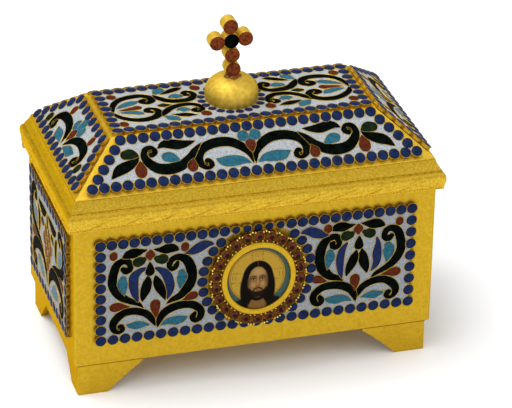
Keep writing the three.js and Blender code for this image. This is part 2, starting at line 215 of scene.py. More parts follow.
def cornice_mesh():
    """The section swept round the four sides, and which of its faces lie in the recess."""
    verts, faces, kinds, rings = [], [], [], []
    for half_along, half_out, out in CORNICE_SIDES:
        steps = round(2 * half_along / CORNICE_STEP)
        right = (-out[1], out[0])
        for i in range(steps):
            share = 2 * i / steps - 1
            fade = min(1, 12 * (1 - abs(share)) * half_along / 90)
            ring = []
            for k, (reach, z) in enumerate(section):
                push = 0
                if leaf_from <= k < leaf_to:
                    push = leaf_relief(share * half_along + LEAF_START, z) * fade
                along = share * (half_along + reach)
                distance = half_out + reach + push
                ring.append(len(verts))
                verts.append((right[0] * along + out[0] * distance,
                              right[1] * along + out[1] * distance + cornice_middle.y,
                              z + cornice_low.z))
            rings.append(ring)
    for ring, after in zip(rings, rings[1:] + rings[:1]):
        for k in range(len(section)):
            n = (k + 1) % len(section)
            faces.append((ring[k], after[k], after[n], ring[n]))
            # Faces in the groove take the darker gilding, painted shade in the recess.
            kinds.append(1 if groove_from <= k < groove_to else 0)
    return verts, faces, kinds


# The cornice's gilding is paler than the box's, with fine bright specks: the punched matting, with
# painted glints on it.
CHASED_GLINT_GILT = gilding("chased_gilding_with_painted_glints", (0.5, 0.31, 0.018), (0.7, 0.465, 0.045), 0.9, (0.34, 0.5),
                 0.35, 0.2)
# Darker gilding for the groove above the torus: painted shade in the recess.
GROOVE_SHADE = gilding("groove_painted_shade", (0.34, 0.19, 0.012), (0.52, 0.32, 0.02), 1.5, (0.5, 0.65),
                 0.4, 0.15)
cornice_verts, cornice_faces, cornice_kinds = cornice_mesh()
cornice = mesh_piece("cornice", cornice_verts, cornice_faces, [CHASED_GLINT_GILT, GROOVE_SHADE],
                     kinds=cornice_kinds)
cornice.data.set_sharp_from_angle(angle=math.radians(32))
add_piece(cornice, "lid", "gilt_brass", "lid_cornice")


def repeat_tree(name, inputs):
    tree = bpy.data.node_groups.new(name, "GeometryNodeTree")
    tree.interface.new_socket("Geometry", in_out="INPUT", socket_type="NodeSocketGeometry")
    for label, kind in inputs:
        tree.interface.new_socket(label, in_out="INPUT", socket_type="NodeSocket" + kind)
    tree.interface.new_socket("Geometry", in_out="OUTPUT", socket_type="NodeSocketGeometry")
    return tree


def finish_tree(tree, given, shape, smooth):
    """Puts the shape on every point, sized by the point, as real mesh with its finish."""
    size = add_node(tree, "GeometryNodeInputNamedAttribute", {"Name": "size"})
    on_points = add_node(tree, "GeometryNodeInstanceOnPoints", wires={
        "Points": given.outputs["Geometry"], "Instance": shape,
        "Scale": size.outputs["Attribute"]})
    if "Seed" in given.outputs:
        spin = tree.nodes.new("FunctionNodeRandomValue")
        spin.data_type = "FLOAT"
        spin.inputs[3].default_value = 2 * math.pi
        tree.links.new(given.outputs["Seed"], spin.inputs["Seed"])
        turned_by = add_node(tree, "ShaderNodeCombineXYZ", wires={"Z": spin.outputs[1]})
        tree.links.new(turned_by.outputs[0], on_points.inputs["Rotation"])
    real = add_node(tree, "GeometryNodeRealizeInstances",
                    wires={"Geometry": on_points.outputs["Instances"]})
    shade = add_node(tree, "GeometryNodeSetShadeSmooth", {"Shade Smooth": smooth},
                     {"Geometry": real.outputs["Geometry"]})
    coat = add_node(tree, "GeometryNodeSetMaterial", wires={
        "Geometry": shade.outputs["Geometry"], "Material": given.outputs["Finish"]})
    add_node(tree, "NodeGroupOutput", wires={"Geometry": coat.outputs["Geometry"]})


def domes_tree(name, segments, rings):
    """Flattened balls, for enamel dots, beads and claws."""
    tree = repeat_tree(name, [("Radius", "Float"), ("Flatness", "Float"), ("Finish", "Material")])
    given = add_node(tree, "NodeGroupInput")
    ball = add_node(tree, "GeometryNodeMeshUVSphere", {"Segments": segments, "Rings": rings},
                    {"Radius": given.outputs["Radius"]})
    flat = add_node(tree, "ShaderNodeCombineXYZ", {"X": 1, "Y": 1},
                    {"Z": given.outputs["Flatness"]})
    press = add_node(tree, "GeometryNodeTransform", wires={
        "Geometry": ball.outputs["Mesh"], "Scale": flat.outputs[0]})
    finish_tree(tree, given, press.outputs["Geometry"], True)
    return tree


def grow(name, tree, points, sizes=None, place=Matrix(), **values):
    """Runs a tree on points given in millimetres and returns the plain mesh it makes.
    sizes holds a factor for each point, or is left out."""
    sizes = sizes or [1.0] * len(points)
    mesh = bpy.data.meshes.new(name)
    mesh.from_pydata([(*p, 0)[:3] for p in points], [], [])
    mesh.attributes.new("size", "FLOAT", "POINT").data.foreach_set("value", sizes)
    piece = bpy.data.objects.new(name, mesh)
    bpy.context.scene.collection.objects.link(piece)
    maker = piece.modifiers.new("maker", "NODES")
    maker.node_group = tree
    for item in tree.interface.items_tree:
        if item.in_out == "INPUT" and item.name in values:
            maker[item.identifier] = values[item.name]
    bpy.context.view_layer.update()
    ready = piece.evaluated_get(bpy.context.evaluated_depsgraph_get())
    made = bpy.data.meshes.new_from_object(ready)
    piece.modifiers.remove(maker)
    piece.data = made
    made.name = name
    made.transform(place @ Matrix.Scale(MM, 4))
    return piece


BEAD_PITCH = 1.35
BEAD_R = 0.55
BEAD_OUT = 3.0
BEAD_Z = 0.6
BEAD_END = 2.4
POLISHED = gilding("polished_gilding", (0.6, 0.385, 0.028), (0.7, 0.47, 0.05), 6, (0.22, 0.32),
                   0.8, 0.03)
BEADS = domes_tree("beads", 8, 5)
bead_line = []
for half_along, half_out, out in CORNICE_SIDES:
    row = half_along + BEAD_END
    distance = half_out + BEAD_OUT
    count = round(2 * row / BEAD_PITCH)
    for i in range(count):
        along = (2 * (i + 0.5) / count - 1) * row
        bead_line.append((-out[1] * along + out[0] * distance,
                          out[0] * along + out[1] * distance + cornice_middle.y,
                          cornice_low.z + BEAD_Z))
seam_beads = grow("seam_beads", BEADS, bead_line, Radius=BEAD_R, Flatness=1.0, Finish=POLISHED)
add_piece(seam_beads, "lid", "polished_brass")

# Enamel plates: each is a lobed brass plate, gilded, with thin gilt wires bent to the pattern
# and soldered on. Opaque enamel is fired between the wires, and a row of domed dots rims it.
PLATE_T = 1.5
GROUND_H = 0.12
CELL_H = 0.16
WIRE_H = 0.18
WIRE_HALF = 0.09
DOT_R = 2.7
DOT_FLATNESS = 0.24
DOT_WIRE_R = 2.8
DOT_WIRE = 0.125
DOT_WIRE_H = 0.05
SLOPE = math.radians(38.6)
OUTWARD = {"front": (0, -1, 0), "right": (1, 0, 0), "back": (0, 1, 0), "left": (-1, 0, 0)}


def enamel(name, dark, light, patch=1.6, bump=0.1, roughness=(0.2, 0.32), gloss=0.025):
    """A glassy finish; the gloss is low because opaque enamel fired matt hardly mirrors."""
    return surface(name, [dark, light], patch, roughness, 0.0, 0.7, bump, gloss)


PALE = enamel("pale_enamel", (0.19, 0.21, 0.225), (0.34, 0.365, 0.38), 0.7, 0.3, (0.35, 0.5), 0.03)
# The lid's ground is a paler copy of the same pale enamel: painted light on the lid's slopes and
# top.
LID_PALE_LIT = enamel("lid_pale_enamel_painted_light", (0.24, 0.262, 0.278), (0.42, 0.445, 0.46), 0.7, 0.3,
                  (0.35, 0.5), 0.03)
NAVY = enamel("navy_enamel", (0.0065, 0.0125, 0.043), (0.011, 0.0225, 0.074), 2.5)
BLACK = enamel("black_enamel", (0.001, 0.0015, 0.001), (0.003, 0.005, 0.004), 3, gloss=0.0004)
TURQUOISE = enamel("turquoise_enamel", (0.013, 0.076, 0.118), (0.027, 0.125, 0.172), 1.5)
BLUE = enamel("blue_enamel", (0.0075, 0.014, 0.055), (0.012, 0.0235, 0.083), 1.8)
RED = enamel("red_brown_enamel", (0.056, 0.012, 0.006), (0.105, 0.023, 0.011), 1.2, 0.2,
             gloss=0.003)
GREEN = enamel("green_enamel", (0.005, 0.0105, 0.005), (0.011, 0.020, 0.009), 2, gloss=0.002)
BERRY = enamel("berry_enamel", (0.08, 0.025, 0.008), (0.19, 0.07, 0.018), 1.0, 0.25, gloss=0.002)
# The box's plates get a dark gilding: painted shade on their raised edges and between the dots. The
# lid's plates keep a paler gilding.
SHADED_PLATE_BRASS = gilding("plate_gilding_painted_shade", (0.12, 0.062, 0.008), (0.38, 0.23, 0.016))
LID_PLATE_BRASS = gilding("lid_plate_gilding", (0.42, 0.26, 0.018), (0.62, 0.4, 0.03))
COLOURS = {"black": 0, "turquoise": 1, "blue": 2, "red": 3, "green": 4, "berry": 5}
WIRE = gilding("wire_gilding", (0.38, 0.235, 0.02), (0.62, 0.415, 0.05), 2, (0.3, 0.42), 0.3)
DOTS = domes_tree("enamel_dots", 14, 8)


def rings_tree(name):
    """Rings of round wire."""
    tree = repeat_tree(name, [("Radius", "Float"), ("Wire", "Float"), ("Finish", "Material")])
    given = add_node(tree, "NodeGroupInput")
    path = add_node(tree, "GeometryNodeCurvePrimitiveCircle", {"Resolution": 20},
                    {"Radius": given.outputs["Radius"]})
    wire = add_node(tree, "GeometryNodeCurvePrimitiveCircle", {"Resolution": 5},
                    {"Radius": given.outputs["Wire"]})
    drawn = add_node(tree, "GeometryNodeCurveToMesh", wires={
        "Curve": path.outputs["Curve"], "Profile Curve": wire.outputs["Curve"]})
    finish_tree(tree, given, drawn.outputs["Mesh"], True)
    return tree


RINGS = rings_tree("wire_rings")


def plate_place(node, side, tilt, thick=PLATE_T):
    """The frame of a plate's outer face: right, up the plate, outwards, with its middle."""
    low, high = (Vector(c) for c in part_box(node))
    out, up = Vector(OUTWARD[side]), Vector((0, 0, 1))
    right = up.cross(out)
    near, far = sorted((low.dot(out), high.dot(out)))
    sine, cosine = math.sin(tilt), math.cos(tilt)
    reach = (near + far + thick * MM * sine) / 2
    height = (low.z + high.z + thick * MM * cosine) / 2
    middle = right * ((low + high) / 2).dot(right) + out * reach + up * height
    axes = Matrix((right, up * sine - out * cosine, out * sine + up * cosine)).transposed()
    return Matrix.Translation(middle) @ axes.to_4x4()


def plate_corners(half_low, half_high, half_v):
    return [(-half_low, -half_v), (half_low, -half_v), (half_high, half_v), (-half_high, half_v)]


def rim_dots(half_low, half_high, half_v, counts):
    """The middles of the dots along the four sides; a corner dot counts on both its sides."""
    corners = [Vector(c) for c in plate_corners(half_low, half_high, half_v)]
    return [tuple(corners[k].lerp(corners[(k + 1) % 4], i / (n - 1)))
            for k, n in enumerate(counts) for i in range(n - 1)]


SHARP_END = 0.3


def cell_sections(points):
    """Cross-sections of a cell drawn as a stroke of (x, y, width), with round or sharp ends."""
    line = smooth_line(points, 4)
    sections = []
    for i, p in enumerate(line):
        along = (line[min(i + 1, len(line) - 1)] - line[max(i - 1, 0)]).xy.normalized()
        width = max(p.z, 0.1) * 1.07 + min(0.35, max(p.z - SHARP_END, 0) * 0.4)
        sections.append((p.xy, along, width / 2))
    cap = [(math.sin(a), math.cos(a)) for a in (0.42, 0.84, 1.2, 1.5)]
    (middle, along, half), last = sections[0], sections[-1]
    if half > SHARP_END:
        ends = [(middle - along * half * s, along, half * c) for s, c in reversed(cap)]
        sections = ends + sections
    middle, along, half = last
    if half > SHARP_END:
        sections += [(middle + along * half * s, along, half * c) for s, c in cap]
    return sections


def mirrored(cells):
    return [(colour, [(-x, y, w) for x, y, w in points]) for colour, points in cells]


def moved(cells, dx, dy=0, scale=1):
    return [(colour, [(x * scale + dx, y * scale + dy, w * scale) for x, y, w in points])
            for colour, points in cells]


def fuller(cells, share, extra=0.0):
    """The same cells drawn wider, but for their fine ends."""
    return [(colour, [(x, y, w * share + (extra if w > 1 else 0)) for x, y, w in points])
            for colour, points in cells]


def spot(x, y, radius, colour="red"):
    return (colour, [(x, y - radius * 0.2, radius * 1.8), (x, y + radius * 0.2, radius * 1.8)])


CELL_LIFTS = ((-1, -0.08), (-0.6, 0.75), (0, 1), (0.6, 0.75), (1, -0.08))
WIRE_LIFTS = ((1, -0.3), (0.5, 1), (-0.5, 1), (-1, -0.3))
CELL_STEP = 0.004
WIRE_SUNK = 0.1


def enamel_cells(name, cells, place, body):
    """The coloured cells of one plate, each slightly domed, and the wires round them.
    A wire dips out of sight where a cell that is laid later covers it."""
    fill_v, fill_f, kinds, wire_v, wire_f = [], [], [], [], []
    drawn = [cell_sections(points) for _, points in cells]
    for order, ((colour, _), sections) in enumerate(zip(cells, drawn)):
        later = [(m.x, m.y, (h - WIRE_HALF) ** 2)
                 for cell in drawn[order + 1:] for m, _, h in cell if h > 2 * WIRE_HALF]
        rise = GROUND_H + CELL_STEP * order
        start = len(fill_v)
        for middle, along, half in sections:
            across = Vector((-along.y, along.x))
            for side, lift in CELL_LIFTS:
                edge = middle + across * half * side
                fill_v.append((edge.x, edge.y, rise + lift * CELL_H * min(1, half)))
        for i in range(len(sections) - 1):
            for k in range(4):
                a = start + 5 * i + k
                fill_f.append((a, a + 5, a + 6, a + 1))
                kinds.append(COLOURS[colour])
        left = [m + Vector((-a.y, a.x)) * h for m, a, h in sections]
        right = [m - Vector((-a.y, a.x)) * h for m, a, h in sections]
        loop = right + left[::-1]
        start, count = len(wire_v), len(loop)
        for i, p in enumerate(loop):
            along = (loop[(i + 1) % count] - loop[i - 1]).normalized()
            across = Vector((-along.y, along.x))
            covered = any((p.x - x) ** 2 + (p.y - y) ** 2 < reach for x, y, reach in later)
            for side, lift in WIRE_LIFTS:
                edge = p + across * WIRE_HALF * side
                wire_v.append((edge.x, edge.y, rise + (-WIRE_SUNK if covered else lift * WIRE_H)))
        for i in range(count):
            n = (i + 1) % count
            for k in range(3):
                a, b = start + 4 * i + k, start + 4 * n + k
                wire_f.append((a + 1, b + 1, b, a))
    finishes = [BLACK, TURQUOISE, BLUE, RED, GREEN, BERRY]
    fills = mesh_piece(name + "_cells", fill_v, fill_f, finishes, place, True, kinds)
    add_piece(fills, body, "enamel")
    wires = mesh_piece(name + "_wires", wire_v, wire_f, [WIRE], place)
    add_piece(wires, body, "polished_brass")


def enamel_plate(node, side, tilt, body, ground, dots, cells, sizes=None):
    """One finished plate: the brass plate, its pale ground, its dots and its pattern."""
    # The box's plates take the dark gilding, painted shade.
    finish_node(node, LID_PLATE_BRASS if body == "lid" else SHADED_PLATE_BRASS)
    place = plate_place(node, side, tilt)
    verts, faces = [], []
    for outline in ground:
        faces.append(tuple(range(len(verts), len(verts) + len(outline))))
        verts += [(x, y, GROUND_H) for x, y in outline]
    # The lid's plates take the paler ground, painted light.
    pale = LID_PALE_LIT if body == "lid" else PALE
    field = mesh_piece(node + "_ground", verts, faces, [pale], place, False)
    add_piece(field, body, "enamel")
    beads = grow(node + "_dots", DOTS, [(x, y, GROUND_H) for x, y in dots], sizes, place,
                 Radius=DOT_R, Flatness=DOT_FLATNESS, Finish=NAVY)
    add_piece(beads, body, "enamel")
    rims = grow(node + "_dot_wires", RINGS, [(x, y, GROUND_H + DOT_WIRE_H) for x, y in dots],
                sizes, place, Radius=DOT_WIRE_R, Wire=DOT_WIRE, Finish=WIRE)
    add_piece(rims, body, "polished_brass")
    enamel_cells(node, cells, place, body)


# The front and back plates. Their pattern is a lyre of scrolls with a lily in it: two on the
# front, either side of the medallion and its two arcs of dots, and three on the back.
LYRE = [
    ("black", [(-5.2, -10.1, .5), (-7.7, -7.6, 1.9), (-11.7, -5.6, 2.8), (-15.7, -3.1, 3.6),
        (-18.7, .4, 4), (-20.4, 4.4, 4.1), (-20.5, 7.9, 4), (-19.7, 11.9, 3.9),
        (-18.2, 15.4, 3.6), (-15.2, 17.1, 3.1), (-12.5, 16.1, 2.9), (-11.6, 13.9, 2.7),
        (-12.1, 12, 2.8), (-13.8, 11.6, 3.4), (-15.2, 12.6, 2.4)]),
    ("black", [(6.6, -9.6, .5), (9.6, -7.6, 2.4), (13.3, -6.1, 3.4), (16.3, -3.1, 4.4),
        (18.6, .9, 4.8), (19.2, 5.9, 4.7), (18.3, 10.4, 4.4), (16.3, 13.9, 4), (13.3, 15.6, 3.2),
        (10.3, 15.4, 2.9), (8.3, 13.4, 2.7), (8.2, 10.9, 2.6), (9.6, 9.6, 2.6),
        (11.3, 11.1, 2.6), (12, 12.7, 1.6)]),
    ("turquoise", [(-15.3, 7.2, 3), (-15.6, 5, 4.6), (-15.2, 1.8, 3.6), (-14.5, -2.3, .2)]),
    ("turquoise", [(14.1, 7, 3), (14.4, 4.8, 4.6), (13.9, 1.8, 3.6), (13.3, -2.4, .2)]),
    ("blue", [(-3.9, 11.5, 1.4), (-7, 10.5, 2.8), (-9.6, 7.9, 4.1), (-10.1, 3.9, 4.3),
        (-9.7, .2, 3.7), (-8.8, -3.6, 2.4), (-7.6, -7, .2)]),
    ("blue", [(1, 11.2, 1), (3.8, 9.6, 2.8), (6.4, 6.9, 4), (7.9, 2.9, 4.2), (8.4, -.8, 3.7),
        (7.8, -4.2, 2.4), (6.8, -7.4, .2)]),
    ("black", [(-2.7, 7.8, .2), (-3, 4.3, 3.6), (-3.8, .4, 4.5), (-5, -3.3, 3.2), (-5.7, -7, .2)]),
    ("black", [(.9, 7.2, .4), (1.7, 4, 3.5), (3.1, .2, 4.3), (4.8, -3.5, 3), (6, -7.6, .2)]),
    ("black", [(-1.9, 15.2, .2), (-1.8, 12.2, 2.8), (-1.8, 9.6, 4.2)]),
    ("green", [(-4.4, 17, 1.8), (-5.8, 16.3, 4), (-7.8, 15.6, 4.8)]),
    ("green", [(1, 17, 1.8), (2.4, 16.2, 4), (4.6, 15.7, 5)]),
    ("black", [(-3.1, 21.8, .4), (-5.6, 21.4, 2.1), (-8.7, 20.9, 4.4), (-11.7, 20.6, 4.5),
        (-14, 19.7, 2.8), (-15.9, 18.9, .2)]),
    ("black", [(-.1, 21.7, .4), (2.8, 21.1, 2.1), (5.8, 21, 4.4), (9, 21.1, 4.3),
        (11.3, 20.3, 2.6), (12.8, 19.3, .2)]),
    ("red", [(-1.5, 22, .2), (-1.6, 20.4, 2.8), (-1.7, 18.8, 4.4), (-1.8, 17.6, 3.4),
        (-1.8, 16.6, 1.4)]),
    spot(-20.0, 20.4, 1.9),
    spot(15.7, 20.9, 2.0),
    ("red", [(-19.7, -8, 4.2), (-17.6, -8, 4.2), (-15, -8.3, 2.4), (-11.5, -8.8, .2)]),
    ("red", [(20.2, -6.8, 4), (18.6, -7.2, 3.6), (16.6, -8, 2), (14.4, -8.7, .2)]),
    ("red", [(.9, -8.9, 4.4), (.9, -11, 4.2), (1.1, -14, 2.6), (1.3, -17.5, .9), (1.3, -19.2, .2)]),
    ("black", [(1, -21.4, .3), (-.2, -18.1, 2.4), (-2.7, -14.6, 3.2), (-5.7, -12.6, 3.4),
        (-9.7, -11.4, 3.4), (-14.2, -11.6, 3.6), (-17.7, -13.6, 3.8), (-19.8, -16.1, 3.6),
        (-20.4, -18.6, 3.2), (-19.4, -21, 2.7), (-17.2, -22, 2.3), (-15.7, -20.9, 2.4),
        (-16.5, -19.6, 3.2)]),
    ("black", [(2, -22.4, .3), (2.8, -18.6, 2.6), (4.8, -15.1, 3.6), (8.3, -12.6, 4),
        (12.8, -11.4, 3.8), (17.3, -11.4, 3.6), (21, -12.6, 3.6), (23.5, -15.1, 3.4),
        (24.2, -17.6, 3.1), (23.1, -20.3, 2.7), (20.9, -20.9, 2.4), (19.9, -18.9, 2.8),
        (21, -16.9, 1.8)]),
    ("turquoise", [(-1.6, -20.2, .2), (-4.7, -19.6, 2.4), (-8.7, -19.5, 3.9),
        (-11.8, -19.2, 2.4), (-13.9, -18.2, .2)]),
    ("turquoise", [(3.2, -21.7, .2), (6.8, -19.6, 2.8), (11.3, -19.6, 4.3), (14.8, -19.3, 3.2),
        (17.6, -18.2, .2)]),
]
NEAR_LEAF = [("blue", [(15.4, 17.3, .2), (19, 17.9, 3.2), (22.3, 19.3, 4.8), (25.4, 20.7, 4.4),
    (28.2, 20.9, 2.6), (30.6, 20.2, .2)])]
WALL_U, WALL_V = 77.5, 25.8
ARC_R = 27.3
ARC_SPAN = math.radians(48)
ARC_DOTS = 9
LYRE_SCALE = 0.98


def arc(sign, count, radius=ARC_R, span=ARC_SPAN):
    angles = [span * (2 * i / (count - 1) - 1) for i in range(count)]
    return [(sign * radius * math.cos(a) - 0.1, radius * math.sin(a) - 0.3) for a in angles]


def front_ground(sign):
    """Half of the pale ground, cut round at the medallion."""
    edge = math.asin(WALL_V / (ARC_R + 0.6))
    curve = arc(sign, 25, ARC_R, edge)
    field = [(sign * WALL_U, WALL_V), (sign * WALL_U, -WALL_V)] + curve
    return field if sign < 0 else field[::-1]


front_dots = rim_dots(WALL_U, WALL_U, WALL_V, (27, 9, 29, 10))
front_sizes = [0.76 if abs(x) < 14 and y > 0 else 1.0 for x, y in front_dots]
front_dots += arc(-1, ARC_DOTS) + arc(1, ARC_DOTS)
front_sizes += [0.98] * (2 * ARC_DOTS)
left_lyre = moved(LYRE + NEAR_LEAF, -51.6, -0.2, LYRE_SCALE)
# The right lyre is the left one mirrored, with most parts a little nearer the medallion and
# five of them drawn again.
RIGHT_SHIFTS = (0.9, -1.6, -1, -1.9, -0.8, -1.9, -1.6, -0.8, -2.4, -2.6, -2.8, -2.9, -2.7, -2.9,
                0.1, -1.2, -0.3, -2, -1.2, -0.9, 0.6, -0.5, -0.2, -0.6)
right_lyre = [(colour, [(x + dx, y, w) for x, y, w in points])
              for (colour, points), dx in zip(mirrored(left_lyre), RIGHT_SHIFTS)]
right_lyre[1:6] = [
    ("black", [(43.5, -9.6, .5), (40.6, -7.6, 2.4), (37, -6.2, 3.4), (34, -3.2, 4.4),
        (31.8, .7, 4.8), (31.2, 5.6, 4.7), (32, 10, 4.4), (33.7, 13.3, 3.8), (36.3, 15.2, 3.2),
        (39.1, 15.5, 2.9), (40.6, 13.8, 2.7), (40.8, 11.5, 2.6), (39.7, 9.9, 2.6),
        (38.1, 10.3, 3.2), (37.6, 11.7, 2.8)]),
    ("turquoise", [(65.9, 7.2, 3.4), (66.4, 5.2, 5.2), (66.1, 2.2, 4.2), (65.4, -2.4, .2)]),
    ("turquoise", [(36.5, 7, 3.2), (36.4, 4.8, 4.4), (35.9, 2, 3.2), (35.2, -2.4, .2)]),
    ("blue", [(60, 12.3, .8), (60.7, 8.8, 2.3), (60.4, 4, 4), (60.5, 0, 3.5), (59.6, -3.2, 2.5),
        (57.4, -6.3, .2)]),
    ("blue", [(44.6, 10.8, 1.2), (42.9, 8.3, 2.8), (41.8, 4.6, 3.4), (41.6, .7, 3.4),
        (42, -4.2, 2.4), (43, -8.5, .2)]),
]
front_cells = fuller(left_lyre + right_lyre, 1.02, 0.15)
enamel_plate("panel_front", "front", math.pi / 2, "casket",
             [front_ground(-1)[::-1], front_ground(1)[::-1]], front_dots, front_cells, front_sizes)


def box_ground(half_low, half_high, half_v):
    return [plate_corners(half_low, half_high, half_v)]


back_cells = [cell for dx in (-51, 0, 51) for cell in moved(LYRE, dx, -0.2, LYRE_SCALE)]
enamel_plate("panel_back", "back", math.pi / 2, "casket", box_ground(WALL_U, WALL_U, WALL_V),
             rim_dots(WALL_U, WALL_U, WALL_V, (27, 10, 27, 10)), back_cells)

# The two end plates: scrolls and leaves round a bunch of grapes.
# The pattern is drawn for one half and mirrored.
END_U = 36.5
END_HALF = [
    ("black", [(-9, -4.6, .3), (-15, -3.2, 2.4), (-21, -2, 3.6), (-27, 0, 4.2),
        (-31.5, 4.5, 4.4), (-33.2, 10.5, 4.4), (-32, 16.5, 4), (-28.5, 20.5, 3.4),
        (-25, 20.5, 3), (-23.5, 18.2, 2.8), (-25.3, 16.6, 3.2)]),
    ("turquoise", [(-28, 13.5, .4), (-26.8, 10, 4.4), (-24, 6, 5), (-20.5, 2.6, .4)]),
    ("black", [(-20.5, 15, .4), (-18.2, 12.5, 2.6), (-17, 8, 3), (-17.6, 3.5, 1.8),
        (-18.6, .8, .3)]),
    ("black", [(-1.5, 19.6, .5), (-6, 17.6, 3), (-11, 16.8, 4), (-16, 17.4, 2.6), (-19, 19.4, .4)]),
    ("green", [(-6.5, 9.8, .4), (-9.6, 10.6, 3.2), (-12, 10, 1.8)]),
    ("red", [(-30, -4.8, 4), (-27, -4.2, 3), (-21, -4.4, .3)]),
    ("black", [(-1.2, -20.4, .3), (-3.5, -14, 3), (-8.5, -9.2, 4), (-15, -7, 4.2),
        (-22, -7.8, 4.4), (-28, -11, 4.2), (-30.6, -15.4, 3.6), (-29.8, -19.6, 3),
        (-26.8, -21, 2.6), (-25, -19.4, 2.6), (-26.6, -17.8, 3)]),
    ("turquoise", [(-6.5, -19.6, .3), (-11, -17.6, 3.4), (-15.5, -16, 5), (-19.6, -15.2, 3.4),
        (-22, -14.6, .4)]),
]
GRAPE_ROWS = ((8.9, (-3.2, 3.2)), (3.2, (-6.3, 0, 6.3)), (-2.6, (-3.2, 3.2)), (-8.2, (0,)))
GRAPES = [spot(x, y, 2.9, "berry") for y, row in GRAPE_ROWS for x in row]
STEM = [("green", [(0, 20, .4), (0, 17, 1.6), (0, 13.6, 2.4)])]
for side in ("left", "right"):
    enamel_plate(f"panel_{side}", side, math.pi / 2, "casket", box_ground(END_U, END_U, WALL_V),
                 rim_dots(END_U, END_U, WALL_V, (13, 10, 13, 10)),
                 fuller(END_HALF + mirrored(END_HALF) + STEM, 1.12, 1.1) + GRAPES)

# The long slopes of the lid: a running scroll each way from a small flower in the middle.
# The plate is narrower at its upper edge.
LONG_PLATE = (80.1, 62.1, 11.7)
LONG_HALF = [
    ("black", [(-.5, -8, .3), (-1.6, -2.3, 2.6), (-5.2, 1.8, 3.6), (-10.2, 4.5, 3.9),
        (-15.8, 5, 4), (-20.8, 4, 3.8), (-24.6, 1.8, 3.6), (-26.4, -1.6, 3.2),
        (-26.1, -4.9, 2.9), (-23.6, -6.9, 2.5), (-21, -6.1, 2.4), (-22.3, -4.5, 3.1)]),
    ("turquoise", [(-1.6, -7.6, .2), (-5.2, -5.8, 2.8), (-9.6, -5.4, 4.4), (-14.6, -5.2, 4),
        (-18.6, -3.5, .2)]),
    ("black", [(-23.6, 5.9, .3), (-27.7, 2.1, 2.2), (-30.8, -1.4, 3.2), (-35.2, -4.5, 4.1),
        (-40.8, -5.8, 4.6), (-46.4, -5.1, 4.4), (-50.2, -2.3, 3.8), (-52.2, 1.4, 3.1),
        (-51.2, 4.9, 2.8), (-48.5, 5.6, 2.5), (-47, 3.7, 2.5), (-48.7, 2.9, 3)]),
    ("black", [(-26.4, 7.1, .2), (-30.8, 6.2, 2.4), (-35.2, 6.1, 4), (-39.6, 7, 3.8),
        (-42.8, 6.8, 2.4), (-45.5, 5.2, .2)]),
    ("turquoise", [(-41.8, .4, 3.8), (-40.2, .2, 4.2), (-37.8, -.9, 2.8), (-35.4, -2.1, .2)]),
    ("red", [(-30.2, -6, 4.2), (-30, -4.6, 3.6), (-29, -1.7, .2)]),
    ("red", [(-55.3, -6, 4.6), (-55.2, -4.2, 4.6), (-54.9, -1.6, 2), (-54.8, .0, .2)]),
    ("black", [(-54.7, 2, .2), (-57.7, -.4, 2.8), (-62, -2.3, 4.4), (-66.1, -4.1, 4),
        (-70.2, -7.8, .2)]),
    ("green", [(-61.3, 3.7, 3.8), (-59, 3.9, 4.4), (-56.8, 3.2, 3), (-54.8, 2.3, .2)]),
    ("turquoise", [(-.5, 4.4, 2.4), (-1.7, 5.7, 3.6), (-2.9, 6.7, 4.8)]),
]
LONG_MIDDLE = [("red", [(0, 2.5, 4.2), (0, 1.2, 3.8), (0, -.6, 2), (0, -2.4, .2)])]
for side in ("front", "back"):
    enamel_plate(f"lid_panel_{side}", side, SLOPE, "lid", box_ground(*LONG_PLATE),
                 rim_dots(*LONG_PLATE, (29, 6, 23, 6)),
                 fuller(LONG_HALF + mirrored(LONG_HALF) + LONG_MIDDLE, 1.06, 0.25))

# The short slopes of the lid: one scroll each way from a three-lobed flower.
# The plate is narrower at its upper edge.
SHORT_PLATE = (39.3, 22.0, 11.1)
SHORT_HALF = [
    ("black", [(-1, -6.9, .3), (-3.2, -3, 2.4), (-6.4, -.3, 3.2), (-10.8, 1, 3.3),
        (-15.2, 1, 3.5), (-19.2, 0, 3.5), (-21.5, -3, 3), (-21.2, -5.9, 2.6), (-19.2, -7.3, 2.2),
        (-17.6, -6.2, 2.2), (-19, -4.7, 2.8)]),
    ("turquoise", [(-2.6, -7.2, .2), (-6.4, -5.9, 3), (-10, -5.8, 3.9), (-14.2, -4.2, .2)]),
    spot(-15.9, 5.7, 1.8),
    spot(-26.1, -5.9, 2.0, "green"),
    ("turquoise", [(-.2, 3.2, 2.4), (-2, 3.5, 4), (-3.6, 3.6, 4.4)]),
]
SHORT_MIDDLE = [("turquoise", [(0, 4, 3), (0, 6.8, 4.6)]),
                ("red", [(0, -.2, 4.2), (0, -1.4, 3.4), (0, -4.4, .2)])]
short_cells = moved(SHORT_HALF + mirrored(SHORT_HALF) + SHORT_MIDDLE, 0, -0.1, 1.08)
for side in ("left", "right"):
    enamel_plate(f"lid_panel_{side}", side, SLOPE, "lid", box_ground(*SHORT_PLATE),
                 rim_dots(*SHORT_PLATE, (14, 6, 8, 6)),
                 fuller(short_cells, 1.05, 0.4))

